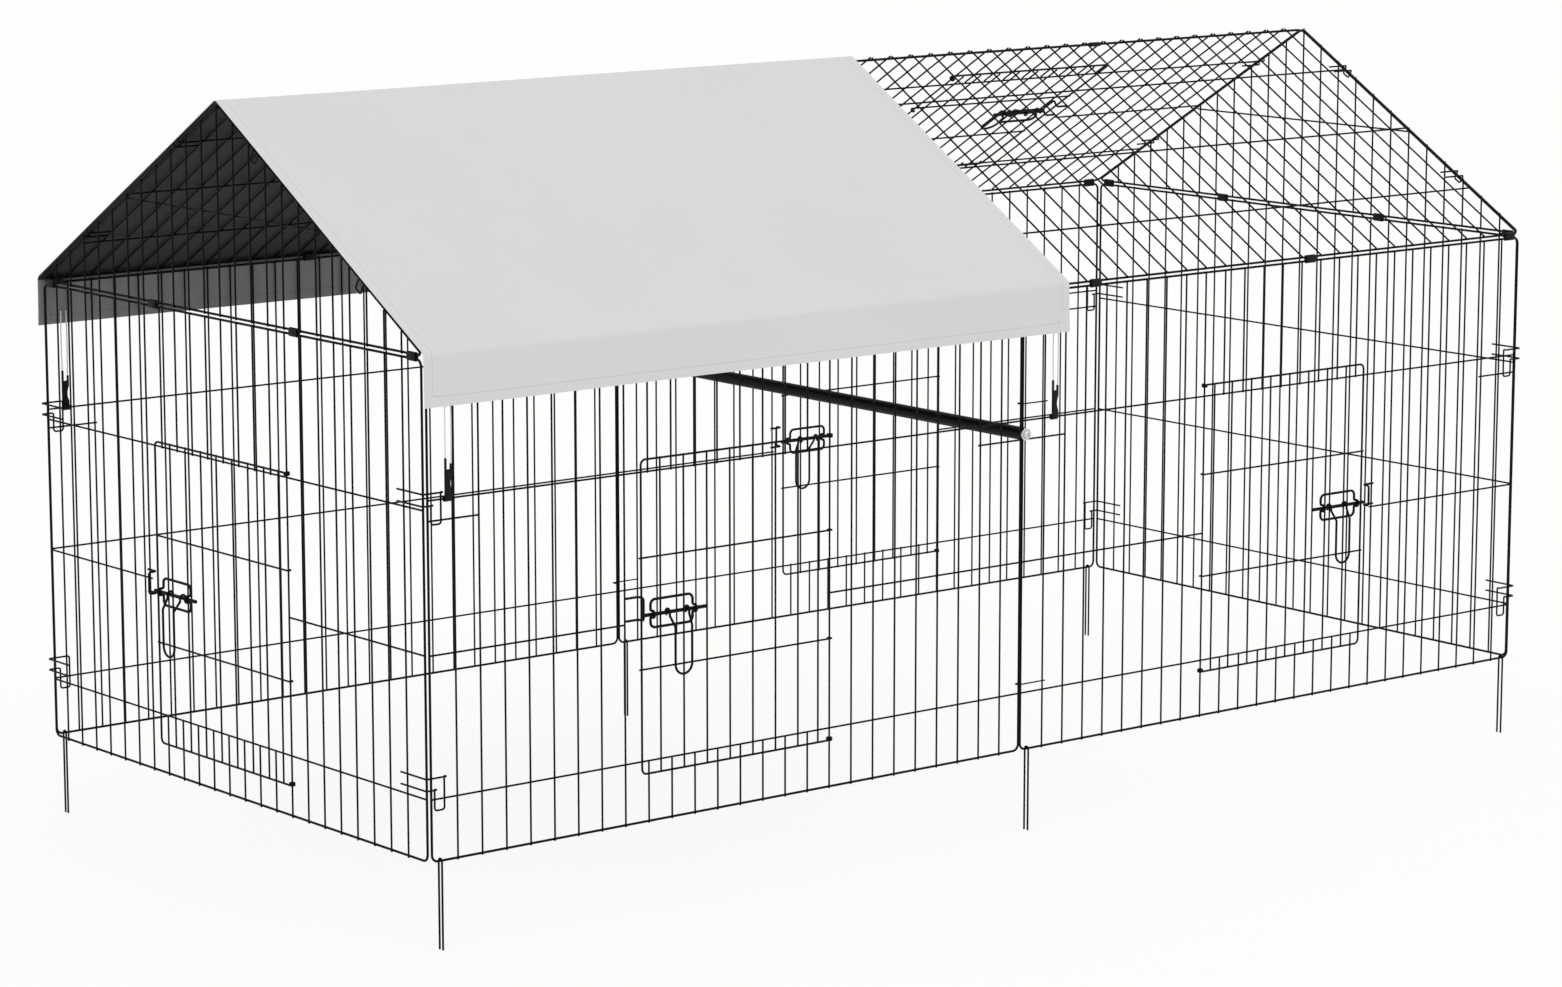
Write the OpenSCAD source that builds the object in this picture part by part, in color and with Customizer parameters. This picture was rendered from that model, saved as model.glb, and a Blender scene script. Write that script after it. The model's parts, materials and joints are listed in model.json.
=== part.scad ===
// Chicken run of welded wire panels with a gable roof, five latched doors, a perch and a half cover
// Millimetres, +Z up, +X along the run to the right, +Y to the back, z = 0 at the stake tips

/* [Run] */
// length over the end panels
run_length = 2200; // [1600:10:3000]
// width over the front and back panels
run_width = 1030; // [700:10:1400]
// bottom rail to top rail of a wall panel
wall_height = 706; // [640:1:900]
// bottom rail to the ridge rails
ridge_height = 1016; // [900:1:1300]
// rise from a top rail to the rail tied above it
tie_pitch = 6.4; // [5:0.1:9]

/* [Wire] */
// frame rod diameter
rod_d = 3.6; // [3.2:0.1:4.4]
// wire diameter
wire_d = 2.8; // [2.2:0.1:3]
// bend radius of the panel corners
frame_bend = 10; // [6:1:14]
// bend radius of the gable corners
gable_bend = 3; // [2.5:0.1:4]
// bend radius of the gable peak
peak_bend = 12; // [3:1:20]
// gap between two rods that lie side by side
rod_gap = 0.05; // [0.02:0.01:0.1]
// setback of the end panel rods from the front plane
corner_gap = 5.2; // [4.6:0.1:8]
// wire spaces in a front, back or roof panel
wall_spaces = 26; // [26:1:26]
// wire spaces in an end panel
end_spaces = 24; // [24:1:24]

/* [Rails] */
// lowest rail of every wall panel
low_rail = 89; // [80:1:95]
// middle rail of every wall panel
mid_rail = 293; // [250:1:330]
// upper rail of front and back panels
high_rail = 511; // [506:1:520]
// upper rail of end panels
end_high_rail = 497; // [480:1:515]
// short catch wire for the upper corner hooks
catch_rail = 482; // [479:1:484]
// first roof rail, up the slope from the eave
roof_low_rail = 128; // [115:1:140]
// second roof rail
roof_mid_rail = 300; // [260:1:330]
// third roof rail
roof_high_rail = 472; // [440:1:490]
// gable rail above the gable base
gable_rail = 148; // [120:1:180]

/* [Doors] */
// panel wire that a wall or roof door hangs on
hinge_wire = 9; // [9:1:9]
// panel wire that the left end door hangs on
end_hinge_wire = 8; // [8:1:8]
// wire spaces across a doorway
door_spaces = 9; // [9:1:9]
// door outline rod diameter
door_rod_d = 3.2; // [3:0.1:3.6]
// clearance of a hinge eye round its wire
eye_gap = 0.3; // [0.25:0.01:0.4]
// rise of the second turn of a hinge eye, in rod diameters
eye_turn = 0.9; // [0.7:0.05:0.95]
// door edge to the latch side panel wire
edge_gap = 27.3; // [26:0.1:34]
// bend radius of the door corners
door_bend = 8; // [6:1:12]
// wall door top above the upper rail
door_over = 19; // [14:1:22]
// wall door bottom below the low rail
door_under = 17; // [12:1:24]
// left end door top above its upper rail
end_door_over = 8; // [7:1:14]
// left end door bottom below the low rail
end_door_under = 42; // [30:1:50]
// hinge to the first door wire
first_door_wire = 22; // [18:1:26]
// hinge to the second door wire
second_door_wire = 60; // [56:1:64]
// last door wire to the door edge
last_door_wire = 36.5; // [32:0.5:40]
// cross bar end past the door edge
bar_over = 2; // [1.6:0.1:2.4]

/* [Latch] */
// bolt diameter
bolt_d = 5.5; // [4:0.1:6]
// bolt length
bolt_length = 113; // [108:1:118]
// bolt tip back from the door edge
bolt_back = 1; // [0:0.1:3]
// bolt axis out from the hinge wire
bolt_out = 9; // [8.6:0.1:10]
// bolt clearance in its guide
bolt_gap = 0.1; // [0.06:0.01:0.1]
// guide wire diameter
guide_d = 4; // [3:0.1:4.4]
// guide length
guide_length = 76; // [74:1:80]
// guide height
guide_height = 41; // [38:1:46]
// guide end to the door edge
guide_back = 16; // [14:1:18]
// handle wire diameter
handle_d = 3.6; // [3:0.1:4]
// spread of the two handle eyes
handle_spread = 35; // [33:1:36]
// first handle eye from the guide's inner end
handle_start = 14; // [13.5:0.5:16]
// width of the handle loop
handle_width = 30; // [26:1:32]
// drop of the handle loop below the bolt
handle_drop = 90; // [80:1:96]
// handle straight below its eyes
handle_neck = 5; // [4:0.5:7]
// handle shoulder below the bolt
handle_shoulder = 20; // [16:1:26]
// step of the handle loop outward
handle_out = 10; // [6:1:14]
// keeper reach from its panel wire
keeper_reach = 22; // [20:1:23]
// keeper wire diameter
keeper_d = 3.6; // [3:0.1:3.8]
// keeper top leg above the bolt
keeper_rise = 27; // [20:1:32]
// keeper bottom leg below the bolt
keeper_drop = 6; // [5:0.1:8]
// clearance of the bolt inside its keeper
keeper_play = 2; // [0.4:0.1:3]

/* [Hooks] */
// hook wire diameter
hook_d = 2.8; // [2.4:0.1:2.8]
// hook leg past the first end panel wire
hook_tail = 12; // [8:1:16]
// upper leg above the caught rail
hook_high = 31; // [28:1:36]
// lower leg above the caught rail
hook_low = 14; // [13:1:16]
// upper hook legs higher above their catch wire by
upper_hook_lift = 8; // [4:1:10]
// lower hook tongue below the caught rail
hook_tip = 17; // [8:1:20]
// upper hook tongue below its catch wire
upper_hook_tip = 6; // [1:0.5:12]
// tongue's near side from the corner rod
tongue_near = 7.5; // [6:0.5:9]
// tongue's far side from the corner rod
tongue_far = 24; // [22:0.5:24]
// upper middle hook height
mid_hook_high = 538; // [528:1:560]
// lower middle hook height
mid_hook_low = 104; // [98:1:115]
// middle hook wire diameter
mid_hook_d = 2.2; // [1.8:0.1:2.4]
// upper middle hook below the cover's hem by at least
mid_hook_clear = 10; // [6:1:12]
// lower roof hook, up the slope
roof_hook_low = 165; // [163:1:170]
// upper roof hook, up the slope
roof_hook_high = 472; // [466:1:476]
// spread of the roof hook legs
roof_hook_spread = 14; // [12:1:15]
// back roof hook loop above the end rod's axis
roof_hook_rise = 3; // [3:0.5:6]
// front roof hook loop below the end rod's axis
roof_hook_hang = 12; // [8:1:16]
// roof hook legs back from the end rod
roof_hook_leg = 32; // [24:1:36]
// rail clip length
clip_length = 20; // [16:1:22]
// rail clip wall
clip_wall = 1.6; // [1.2:0.1:1.8]

/* [Stakes] */
// stake wire diameter
stake_d = 3; // [2.2:0.1:3.2]
// stake tip below the bottom rail
stake_depth = 128; // [80:1:200]
// half spread of the stake legs
stake_half = 4; // [3.6:0.1:5]
// stake from the panel side rod
stake_inset = 14; // [12:1:24]

/* [Perch] */
// perch bar diameter
perch_d = 20; // [16:1:24]
// perch axis above the bottom rail
perch_height = 490; // [489:1:494]
// perch bolt diameter
perch_bolt_d = 5; // [4:0.5:6]
// perch bolt depth in the bar
perch_bolt_depth = 25; // [15:1:40]
// bolt head diameter
head_d = 13; // [11:0.5:15]
// bolt head height
head_h = 5; // [3:0.5:6]
// washer diameter
washer_d = 19; // [16:0.5:22]
// washer thickness
washer_t = 1.6; // [1:0.1:2.4]

/* [Cover] */
// cover past the middle of the run
cover_reach = 87; // [60:1:100]
// cloth thickness
cover_t = 1; // [0.6:0.1:1.6]
// cloth above the roof wires
cover_gap = 0.1; // [0.05:0.01:0.3]
// valance hem above the bottom rail
hem_height = 641; // [620:1:660]
// elastic strand diameter
elastic_d = 2; // [1.6:0.1:2.4]
// spread of the two strands
elastic_spread = 9; // [8:0.5:10]
// strand length sewn behind the valance
elastic_sewn = 20; // [10:1:30]
// least strand length below the hem
elastic_least = 12; // [8:1:20]
// cover hook width
cover_hook_w = 12; // [11:0.5:13]
// clearance of the cover hook from its neighbours
tie_clear = 1.4; // [0.5:0.1:1.5]
// cover hook body height above its rail
cover_hook_h = 41; // [34:1:50]
// cover hook prong height
prong_h = 8; // [6:1:10]
// cover hook prong width
prong_w = 3; // [2.4:0.1:4]
// cover hook prong root in the body
prong_root = 0.5; // [0.2:0.1:1]
// left prong taller than the right one by
prong_step = 8; // [4:0.5:10]
// cover hook waist depth
waist_depth = 3; // [1:0.1:4]
// cover hook waist radius
waist_r = 22; // [14:1:30]
// cover hook waist above its rail
waist_height = 21; // [16:1:26]
// cover hook wall
cover_hook_wall = 2.85; // [2.4:0.05:3.1]
// cover hook lip behind the rail
cover_hook_lip = 4; // [3:0.5:6]

/* [Hidden] */
steel = "#141416";
zinc = "#b9bcc0";
cloth = "#d8d7da";
black_plastic = "#1b1b1d";
pale = "#e6e6e8";
// round count of every turned face
rn = 24;
// extra diameter of a knuckle at a slanted bend
knuckle = 0.1;
// extra diameter of a weld bead, less than the gap to the next rod
bead = 1.6 * rod_gap;

// wires lie on the outside of the frame rods and rails on the inside of the wires
wire_y = -(rod_d + wire_d) / 2;
rail_y = wire_y + wire_d;
// frame planes of the walls
hw = run_width / 2 - rod_d / 2 - wire_d;
hl = run_length / 2 - rod_d / 2 - wire_d;
mid_x = (rod_d + rod_gap) / 2;
panel_w = hl - rod_d - rod_gap - mid_x;
wall_pitch = panel_w / wall_spaces;
end_half = hw - corner_gap;
end_w = 2 * end_half;
end_pitch = end_w / end_spaces;
base_z = stake_depth;
eave_z = base_z + wall_height + tie_pitch;
ridge_z = base_z + ridge_height;
// roof slope between the eave rail and the ridge rail
slope_run = hw - mid_x;
slope_rise = ridge_z - eave_z;
slope_len = sqrt(slope_run * slope_run + slope_rise * slope_rise);
tilt = atan2(slope_rise, slope_run);

// door sizes
door_w = door_spaces * wall_pitch - edge_gap;
end_door_w = door_spaces * end_pitch - edge_gap;
door_h = high_rail - low_rail + door_over + door_under;
end_door_h = end_high_rail - low_rail + end_door_over + end_door_under;
roof_door_h = roof_high_rail - roof_low_rail + door_over + door_under;
bar_d = wire_d;
eye_r = wire_d / 2 + eye_gap + door_rod_d / 2;
bar_eye_r = wire_d / 2 + eye_gap + bar_d / 2;
door_wire_y = -eye_r + door_rod_d / 2 + wire_d / 2;
// bolt height below the door top as a share of the door height
bolt_share = 0.49;
bar_share_high = 0.31;
bar_share_low = 0.665;
guide_y = door_wire_y - wire_d / 2 - guide_d / 2;
guide_r = bolt_d / 2 + bolt_gap + guide_d / 2;
guide_in = guide_d / 2 + 0.4;
handle_eye_r = bolt_d / 2 + eye_gap + handle_d / 2;
handle_y = -bolt_out - handle_eye_r - handle_out;
keeper_y = -wire_d / 2 - keeper_d / 2;
keeper_far = -bolt_out - bolt_d / 2 - keeper_d / 2 - keeper_play;

// hook planes
hook_x = hl + rod_d / 2 + wire_d + hook_d / 2;
hook_front = -(hw + rod_d / 2 + hook_d / 2);
hook_back = -(hw - rail_y) + wire_d / 2 + hook_d / 2 + rod_gap;
corner_rod = mid_x + panel_w;
roof_hook_out = hook_x - corner_rod + rod_gap;

// the run is moved along X so that its box is centred on the origin
latch_reach = hl + rod_d / 2 + wire_d / 2 - handle_y + handle_d / 2;
shift_x = (latch_reach - hook_x - rod_gap - hook_d / 2) / 2;

// perch and its fixings
perch_x = mid_x + rod_d / 2 + perch_bolt_d / 2 + 0.5;
perch_end = hw - rod_d / 2;
washer_y = hw + rod_d / 2;

// cover planes
cover_in = rod_d / 2 + wire_d + cover_gap;
cover_out = cover_in + cover_t;
valance_in = run_width / 2 + 0.2;
valance_out = valance_in + cover_t;
strand_y = valance_in - elastic_d / 2;
// the left cover hook shares the first wire space with the corner hook, or takes the next one if it is narrow
tie_room = wall_pitch - wire_d / 2 - tongue_far - hook_d / 2;
tie_first = wall_pitch - wire_d / 2 - tie_clear - cover_hook_w / 2;
tie_left = corner_rod - (tie_room >= cover_hook_w + 2 * tie_clear ? tie_first : 1.5 * wall_pitch);
tie_right = mid_x + 1.5 * wall_pitch;
// the cover hooks clip on the upper rail, or on the middle one if the hem hangs too low for a strand
tie_room_up = hem_height - high_rail - cover_hook_h - prong_h - prong_step;
tie_rail = tie_room_up >= elastic_least ? high_rail : mid_rail;
// the upper middle hook stays below the hem
mid_hook_top = min(mid_hook_high, hem_height - mid_hook_clear - mid_hook_d / 2);
hook_bore = wire_d / 2 + 0.05;
cover_hook_r = hook_bore + cover_hook_wall;

// rounded wire helpers
function unit(v) = v / norm(v);
function turn(a, b) = acos(max(-1, min(1, a * b)));
function way(p, i) = unit(p[i + 1] - p[i]);
function trim(p, i, r) = r * tan(turn(way(p, i - 1), way(p, i)) / 2);
function euler(a, b, c) = abs(a[2]) > 0.99999
  ? [0, a[2] > 0 ? -90 : 90, atan2(-b[0], b[1])]
  : [atan2(b[2], c[2]), -asin(a[2]), atan2(a[1], a[0])];

// straight length of wire between two points
module straight(a, b, d) {
  v = b - a;
  l = norm(v);
  if (l > 0.001) {
    translate(a)
      rotate([0, acos(v[2] / l), atan2(v[1], v[0])])
        cylinder(d = d, h = l, $fn = rn);
  }
}

// arc of wire about a centre, from direction a towards direction b
module arc(centre, a, b, r, angle, d) {
  translate(centre)
    rotate(euler(a, b, cross(a, b)))
      rotate_extrude(angle = angle, $fn = rn)
        translate([r, 0])
          circle(d = d, $fn = rn);
}

// bend of radius r at point i of a path
module bend(p, i, r, d) {
  a = way(p, i - 1);
  b = way(p, i);
  start = p[i] - a * trim(p, i, r);
  side = unit(b - a * (a * b));
  arc(start + side * r, -side, a, r, turn(a, b), d);
}

// open bent wire with one radius per inner point; radius 0 is a small upset knuckle
module bent(p, r, d) {
  last = len(p) - 1;
  union() {
    for (i = [0 : last - 1]) {
      from = i == 0 ? p[0] : p[i] + way(p, i) * trim(p, i, r[i - 1]);
      to = i == last - 1 ? p[last] : p[i + 1] - way(p, i) * trim(p, i + 1, r[i]);
      straight(from, to, d);
    }
    for (i = [1 : last - 1]) {
      if (r[i - 1] > 0) bend(p, i, r[i - 1], d);
      else translate(p[i]) sphere(d = d + knuckle, $fn = rn);
    }
  }
}

// closed bent wire with one radius per point; welded puts a small weld bead at the ends of slanted legs
module ring(p, r, d, welded = false) {
  n = len(p);
  q = [for (i = [0 : n + 1]) p[i % n]];
  union() {
    for (i = [1 : n]) {
      next = [q[i - 1], q[i], q[i + 1 > n + 1 ? 1 : i + 1]];
      after = [q[i], q[i + 1 > n + 1 ? 1 : i + 1], p[(i + 2) % n]];
      from = q[i] + way(next, 1) * trim(next, 1, r[i % n]);
      to = after[1] - way(after, 0) * trim(after, 1, r[(i + 1) % n]);
      straight(from, to, d);
      bend(next, 1, r[i % n], d);
      if (welded && abs(way(next, 1)[2]) > 0.001) {
        translate(from) sphere(d = d + bead, $fn = rn);
        translate(to) sphere(d = d + bead, $fn = rn);
      }
    }
  }
}

function same(r, n) = [for (i = [1 : n]) r];

// upright wire and level wire of a panel
module upright(x, low, high, y = wire_y) {
  translate([x, y, low]) cylinder(d = wire_d, h = high - low, $fn = rn);
}
module level(from, to, z, y = rail_y) {
  translate([from, y, z]) rotate([0, 90, 0]) cylinder(d = wire_d, h = to - from, $fn = rn);
}

// frame rod of a panel, w wide and h high between rod centres
module panel_frame(w, h) {
  ring([[0, 0, 0], [w, 0, 0], [w, 0, h], [0, 0, h]], same(frame_bend, 4), rod_d);
}

// welded wires of a panel, with a doorway between wires door[0] and door[1] if door is given
module panel_wires(w, h, spaces, rails, door = [], catch = 0) {
  pitch = w / spaces;
  low = -rod_d / 2;
  high = h + rod_d / 2;
  top = rails[2] + wire_d / 2;
  sill = rails[0] - wire_d / 2;
  for (i = [1 : spaces - 1]) {
    if (len(door) > 0 && i > door[0] && i < door[1]) {
      upright(i * pitch, low, sill + wire_d);
      upright(i * pitch, top - wire_d, high);
    } else {
      upright(i * pitch, low, high);
    }
  }
  level(rod_d / 2, w - rod_d / 2, rails[0]);
  level(rod_d / 2, w - rod_d / 2, rails[2]);
  if (len(door) > 0) {
    level(rod_d / 2, door[0] * pitch + wire_d / 2, rails[1]);
    level(door[1] * pitch - wire_d / 2, w - rod_d / 2, rails[1]);
  } else {
    level(rod_d / 2, w - rod_d / 2, rails[1]);
  }
  if (catch > 0) {
    level(rod_d / 2, 2 * pitch + wire_d / 2, catch);
    level(w - 2 * pitch - wire_d / 2, w - rod_d / 2, catch);
  }
}

// door of width w and height h; the hinge wire is the Z axis and -Y is outward
module door_shape(w, h) {
  union() {
    bent([[0, -eye_r, 0], [w, -eye_r, 0], [w, -eye_r, h], [0, -eye_r, h]], same(door_bend, 2), door_rod_d);
    for (z = [0, h]) {
      arc([0, 0, z], [0, -1, 0], [-1, 0, 0], eye_r, 240, door_rod_d);
      turn_z = z > 0 ? z - eye_turn * door_rod_d : z + eye_turn * door_rod_d;
      translate([0, 0, turn_z])
        rotate_extrude($fn = rn) translate([eye_r, 0]) circle(d = door_rod_d, $fn = rn);
    }
    for (share = [bar_share_high, bar_share_low]) {
      z = h * (1 - share);
      straight([0, -bar_eye_r, z], [w + door_rod_d / 2 + bar_over, -bar_eye_r, z], bar_d);
      arc([0, 0, z], [0, -1, 0], [-1, 0, 0], bar_eye_r, 240, bar_d);
    }
  }
  step = (w - last_door_wire - second_door_wire) / 6;
  for (x = [first_door_wire, for (k = [0 : 6]) second_door_wire + k * step]) {
    upright(x, -1, h + 1, door_wire_y);
  }
}

// latch guide: a round cornered wire whose ends loop out round the bolt
module guide_shape(w, h) {
  z = h * (1 - bolt_share);
  x1 = w - guide_back - guide_length;
  x2 = w - guide_back;
  out = -bolt_out - guide_r;
  low = z - guide_height / 2;
  high = z + guide_height / 2;
  ring([
    [x1, guide_y, low], [x2, guide_y, low],
    [x2, guide_y, z - guide_r], [x2, out, z - guide_r], [x2, out, z + guide_r], [x2, guide_y, z + guide_r],
    [x2, guide_y, high], [x1, guide_y, high],
    [x1, guide_y, z + guide_r], [x1, out, z + guide_r], [x1, out, z - guide_r], [x1, guide_y, z - guide_r]
  ], [8, 8, guide_in, guide_r, guide_r, guide_in, 8, 8, guide_in, guide_r, guide_r, guide_in], guide_d);
}

// latch bolt: a plain rod
module bolt_shape(w, h) {
  z = h * (1 - bolt_share);
  tip = w - bolt_back;
  translate([tip - bolt_length, -bolt_out, z])
    rotate([0, 90, 0]) cylinder(d = bolt_d, h = bolt_length, $fn = rn);
}

// latch handle: a hanging loop with an eye at each end round the bolt
module handle_shape(w, h) {
  z = h * (1 - bolt_share);
  x1 = w - guide_back - guide_length + handle_start;
  x2 = x1 + handle_spread;
  c = (x1 + x2) / 2;
  y1 = -bolt_out - handle_eye_r;
  handle_round = handle_width / 2 - 0.01;
  union() {
    for (x = [x1, x2]) {
      arc([x, -bolt_out, z], [0, -1, 0], [0, 0, 1], handle_eye_r, 240, handle_d);
    }
    bent([
      [x1, y1, z], [x1, y1, z - handle_neck], [c - handle_width / 2, handle_y, z - handle_shoulder],
      [c - handle_width / 2, handle_y, z - handle_drop], [c + handle_width / 2, handle_y, z - handle_drop],
      [c + handle_width / 2, handle_y, z - handle_shoulder], [x2, y1, z - handle_neck], [x2, y1, z]
    ], [0, 0, handle_round, handle_round, 0, 0], handle_d);
  }
}

// keeper: a bowed wire loop on the latch side panel wire, in door axes
module keeper_shape(w, h) {
  z = h * (1 - bolt_share);
  x = w + edge_gap;
  high = z + keeper_rise;
  low = z - keeper_drop;
  bent([
    [x, keeper_y, high], [x - keeper_reach, keeper_y, high], [x - keeper_reach, keeper_far, high],
    [x - keeper_reach, keeper_far, low], [x - keeper_reach, keeper_y, low], [x, keeper_y, low]
  ], same(4, 4), keeper_d);
}

// places of the panels: x along the panel from its inner rod, -Y outward, z up from its lowest rod
module home() translate([shift_x, 0, 0]) children();
module front_right() home() translate([mid_x, -hw, base_z]) children();
module front_left() home() mirror([1, 0, 0]) translate([mid_x, -hw, base_z]) children();
module back_left() home() translate([-mid_x, hw, base_z]) rotate([0, 0, 180]) children();
module back_right() home() translate([mid_x + panel_w, hw, base_z]) rotate([0, 0, 180]) children();
module left_end() home() translate([-hl, -end_half, base_z]) rotate([0, 0, -90]) mirror([1, 0, 0]) children();
module right_end() home() translate([hl, -end_half, base_z]) rotate([0, 0, 90]) children();
module left_gable() home() translate([-hl, 0, eave_z]) rotate([0, 0, -90]) children();
module right_gable() home() translate([hl, 0, eave_z]) rotate([0, 0, 90]) children();
module slope() translate([mid_x, -hw, eave_z]) rotate([tilt - 90, 0, 0]) children();
module roof_fr() home() slope() children();
module roof_fl() home() mirror([1, 0, 0]) slope() children();
module roof_br() home() mirror([0, 1, 0]) slope() children();
module roof_bl() home() mirror([1, 0, 0]) mirror([0, 1, 0]) slope() children();

// places of the doors: the hinge wire at the origin
module wall_door() translate([hinge_wire * wall_pitch, wire_y, low_rail - door_under]) children();
module end_door() translate([end_hinge_wire * end_pitch, wire_y, low_rail - end_door_under]) children();
module slope_door() translate([hinge_wire * wall_pitch, wire_y, roof_low_rail - door_under]) children();

wall_rails = [low_rail, mid_rail, high_rail];
end_rails = [low_rail, mid_rail, end_high_rail];
roof_rails = [roof_low_rail, roof_mid_rail, roof_high_rail];
doorway = [hinge_wire, hinge_wire + door_spaces];
end_doorway = [end_hinge_wire, end_hinge_wire + door_spaces];

module wall_frame() color(steel) panel_frame(panel_w, wall_height);
module door_wall_wires() color(steel)
  panel_wires(panel_w, wall_height, wall_spaces, wall_rails, doorway, catch_rail);
module plain_wall_wires() color(steel)
  panel_wires(panel_w, wall_height, wall_spaces, wall_rails, [], catch_rail);
module roof_frame() color(steel) panel_frame(panel_w, slope_len);
module plain_roof_wires() color(steel) panel_wires(panel_w, slope_len, wall_spaces, roof_rails);
module door_roof_wires() color(steel) panel_wires(panel_w, slope_len, wall_spaces, roof_rails, doorway);

// gable: x across the run from its middle, z up from its base rod
gable_top = slope_rise + mid_x * tan(tilt);
module gable_frame() color(steel) {
  ring([[-hw, 0, 0], [hw, 0, 0], [0, 0, gable_top]], [gable_bend, gable_bend, peak_bend], rod_d, true);
}
module gable_wires() color(steel) {
  for (i = [1 : end_spaces - 1]) {
    x = -end_half + i * end_pitch;
    upright(x, -rod_d / 2, (hw - abs(x)) * tan(tilt) + 1);
  }
  reach = hw - gable_rail / tan(tilt) - rod_d / 2 / sin(tilt) - wire_d;
  level(-reach, reach, gable_rail);
}

// front walls
module front_left_frame() front_left() wall_frame();
module front_left_wires() front_left() door_wall_wires();
module front_right_frame() front_right() wall_frame();
module front_right_wires() front_right() door_wall_wires();

// back walls
module back_left_frame() back_left() wall_frame();
module back_left_wires() back_left() plain_wall_wires();
module back_right_frame() back_right() wall_frame();
module back_right_wires() back_right() door_wall_wires();

// end walls
module left_end_frame() left_end() color(steel) panel_frame(end_w, wall_height);
module left_end_wires() left_end() color(steel)
  panel_wires(end_w, wall_height, end_spaces, end_rails, end_doorway);
module right_end_frame() right_end() color(steel) panel_frame(end_w, wall_height);
module right_end_wires() right_end() color(steel) panel_wires(end_w, wall_height, end_spaces, end_rails);

// gables
module left_gable_frame() left_gable() gable_frame();
module left_gable_wires() left_gable() gable_wires();
module right_gable_frame() right_gable() gable_frame();
module right_gable_wires() right_gable() gable_wires();

// roof panels
module roof_front_left_frame() roof_fl() roof_frame();
module roof_front_left_wires() roof_fl() plain_roof_wires();
module roof_front_right_frame() roof_fr() roof_frame();
module roof_front_right_wires() roof_fr() plain_roof_wires();
module roof_back_left_frame() roof_bl() roof_frame();
module roof_back_left_wires() roof_bl() plain_roof_wires();
module roof_back_right_frame() roof_br() roof_frame();
module roof_back_right_wires() roof_br() door_roof_wires();

// doors and latches
module front_left_door() front_left() wall_door() color(steel) door_shape(door_w, door_h);
module front_left_guide() front_left() wall_door() color(steel) guide_shape(door_w, door_h);
module front_left_bolt() front_left() wall_door() color(steel) bolt_shape(door_w, door_h);
module front_left_handle() front_left() wall_door() color(steel) handle_shape(door_w, door_h);
module front_right_door() front_right() wall_door() color(steel) door_shape(door_w, door_h);
module front_right_guide() front_right() wall_door() color(steel) guide_shape(door_w, door_h);
module front_right_bolt() front_right() wall_door() color(steel) bolt_shape(door_w, door_h);
module front_right_handle() front_right() wall_door() color(steel) handle_shape(door_w, door_h);
module back_right_door() back_right() wall_door() color(steel) door_shape(door_w, door_h);
module back_right_guide() back_right() wall_door() color(steel) guide_shape(door_w, door_h);
module back_right_bolt() back_right() wall_door() color(steel) bolt_shape(door_w, door_h);
module back_right_handle() back_right() wall_door() color(steel) handle_shape(door_w, door_h);
module left_end_door() left_end() end_door() color(steel) door_shape(end_door_w, end_door_h);
module left_end_guide() left_end() end_door() color(steel) guide_shape(end_door_w, end_door_h);
module left_end_bolt() left_end() end_door() color(steel) bolt_shape(end_door_w, end_door_h);
module left_end_handle() left_end() end_door() color(steel) handle_shape(end_door_w, end_door_h);
module roof_door() roof_br() slope_door() color(steel) door_shape(door_w, roof_door_h);
module roof_guide() roof_br() slope_door() color(steel) guide_shape(door_w, roof_door_h);
module roof_bolt() roof_br() slope_door() color(steel) bolt_shape(door_w, roof_door_h);
module roof_handle() roof_br() slope_door() color(steel) handle_shape(door_w, roof_door_h);
module door_keepers() color(steel) {
  front_left() wall_door() keeper_shape(door_w, door_h);
  front_right() wall_door() keeper_shape(door_w, door_h);
  back_right() wall_door() keeper_shape(door_w, door_h);
  left_end() end_door() keeper_shape(end_door_w, end_door_h);
  roof_br() slope_door() keeper_shape(door_w, roof_door_h);
}

// corner hook that drops behind the rail at height z of a front panel
module corner_hook(z, lift, below) {
  high = z + hook_high + lift;
  low = z + hook_low + lift;
  tip = z - below;
  far = corner_rod - tongue_far;
  near = corner_rod - tongue_near;
  tail = -end_half + end_pitch + hook_tail;
  bent([
    [hook_x, tail, high], [hook_x, hook_front, high], [far, hook_front, high], [far, hook_back, high],
    [far, hook_back, tip], [near, hook_back, tip], [near, hook_back, low], [near, hook_front, low],
    [hook_x, hook_front, low], [hook_x, tail, low]
  ], [4, 2, 2, 4, 4, 2, 2, 4], hook_d);
}
module corner_hooks() color(steel) home() {
  for (mx = [0, 1], my = [0, 1]) {
    mirror([mx, 0, 0]) mirror([0, my, 0]) translate([0, 0, base_z]) {
      corner_hook(low_rail, 0, hook_tip);
      corner_hook(catch_rail, upper_hook_lift, upper_hook_tip);
    }
  }
}

// middle hook from a right hand panel round the rod of the left hand panel
module mid_hook(z) {
  front = wire_y - hw - wire_d / 2 - mid_hook_d / 2;
  back = -hw + rod_d / 2 + mid_hook_d / 2;
  left = -mid_x - rod_d / 2 - mid_hook_d / 2 - 2;
  bent([
    [mid_x + wall_pitch + 3, front, z], [left, front, z], [left, back, z], [-mid_x + 1, back, z]
  ], same(2, 2), mid_hook_d);
}
module mid_hooks() color(steel) home() {
  for (my = [0, 1], z = [mid_hook_low, mid_hook_top]) {
    mirror([0, my, 0]) translate([0, 0, base_z]) mid_hook(z);
  }
}

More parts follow.
